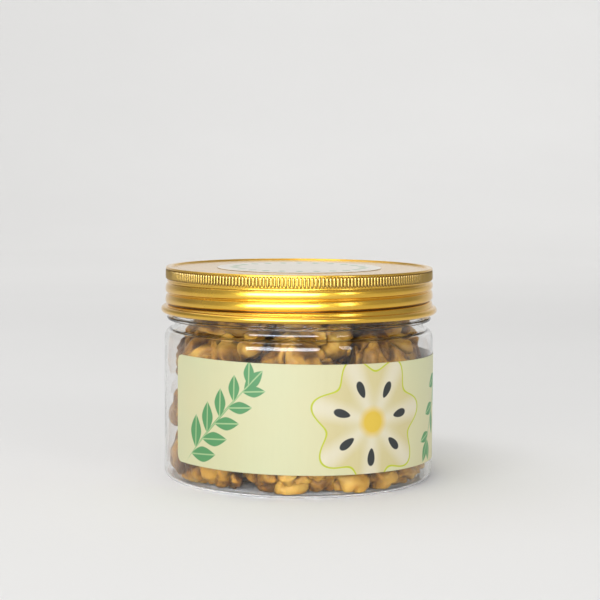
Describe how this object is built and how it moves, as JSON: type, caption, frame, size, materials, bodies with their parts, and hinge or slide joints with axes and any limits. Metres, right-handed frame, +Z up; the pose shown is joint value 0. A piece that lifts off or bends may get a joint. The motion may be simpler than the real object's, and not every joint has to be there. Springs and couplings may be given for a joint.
{
  "type": "screw-lid jar of dried fruit",
  "caption": "Squat clear plastic jar filled with dried soursop pieces, closed by a gold ribbed screw lid, with a wraparound label on the jar and a round label on the lid.",
  "frame": {"origin": "centre of the jar's base, on the surface it stands on", "axes": "+Z up along the jar's axis; -Y towards the front of the label; +X to the viewer's right"},
  "size_m": [0.0872, 0.0872, 0.0664],
  "materials": {
    "clear_plastic": "gloss",
    "gold_aluminium": "satin",
    "liner_foam": "matte",
    "label_film": "satin",
    "lid_paper": "satin",
    "fruit_amber": "satin",
    "fruit_brown": "satin",
    "fruit_tan": "satin"
  },
  "bodies": {
    "jar": {"jar": "clear_plastic", "jar_label": "label_film", "fruit_01": "fruit_amber", "fruit_02": "fruit_brown", "fruit_03": "fruit_tan", "fruit_04": "fruit_amber", "fruit_05": "fruit_brown", "fruit_06": "fruit_tan", "fruit_07": "fruit_amber", "fruit_08": "fruit_brown", "fruit_09": "fruit_tan", "fruit_10": "fruit_amber", "fruit_11": "fruit_brown", "fruit_12": "fruit_tan", "fruit_13": "fruit_amber", "fruit_14": "fruit_brown", "fruit_15": "fruit_tan", "fruit_16": "fruit_amber", "fruit_17": "fruit_brown", "fruit_18": "fruit_tan", "fruit_19": "fruit_amber", "fruit_20": "fruit_brown", "fruit_21": "fruit_tan", "fruit_22": "fruit_amber", "fruit_23": "fruit_brown", "fruit_24": "fruit_tan", "fruit_25": "fruit_amber", "fruit_26": "fruit_brown", "fruit_27": "fruit_tan", "fruit_28": "fruit_amber", "fruit_29": "fruit_brown"},
    "liner": {"lid_liner": "liner_foam"},
    "lid": {"lid_shell": "gold_aluminium", "lid_label": "lid_paper"}
  },
  "joints": [
    {"name": "lid_lift", "type": "slide", "parent": "jar", "child": "liner", "axis": [0, 0, 1], "range_m": [0, 0.00567]},
    {"name": "lid_turn", "type": "hinge", "parent": "liner", "child": "lid", "pos_m": [0, 0, 0.06], "axis": [0, 0, 1], "range_deg": [0, 600]}
  ],
  "couplings": [
    {"joint": "lid_lift", "follows": "lid_turn", "m_per_rad": 0.00054113}
  ]
}
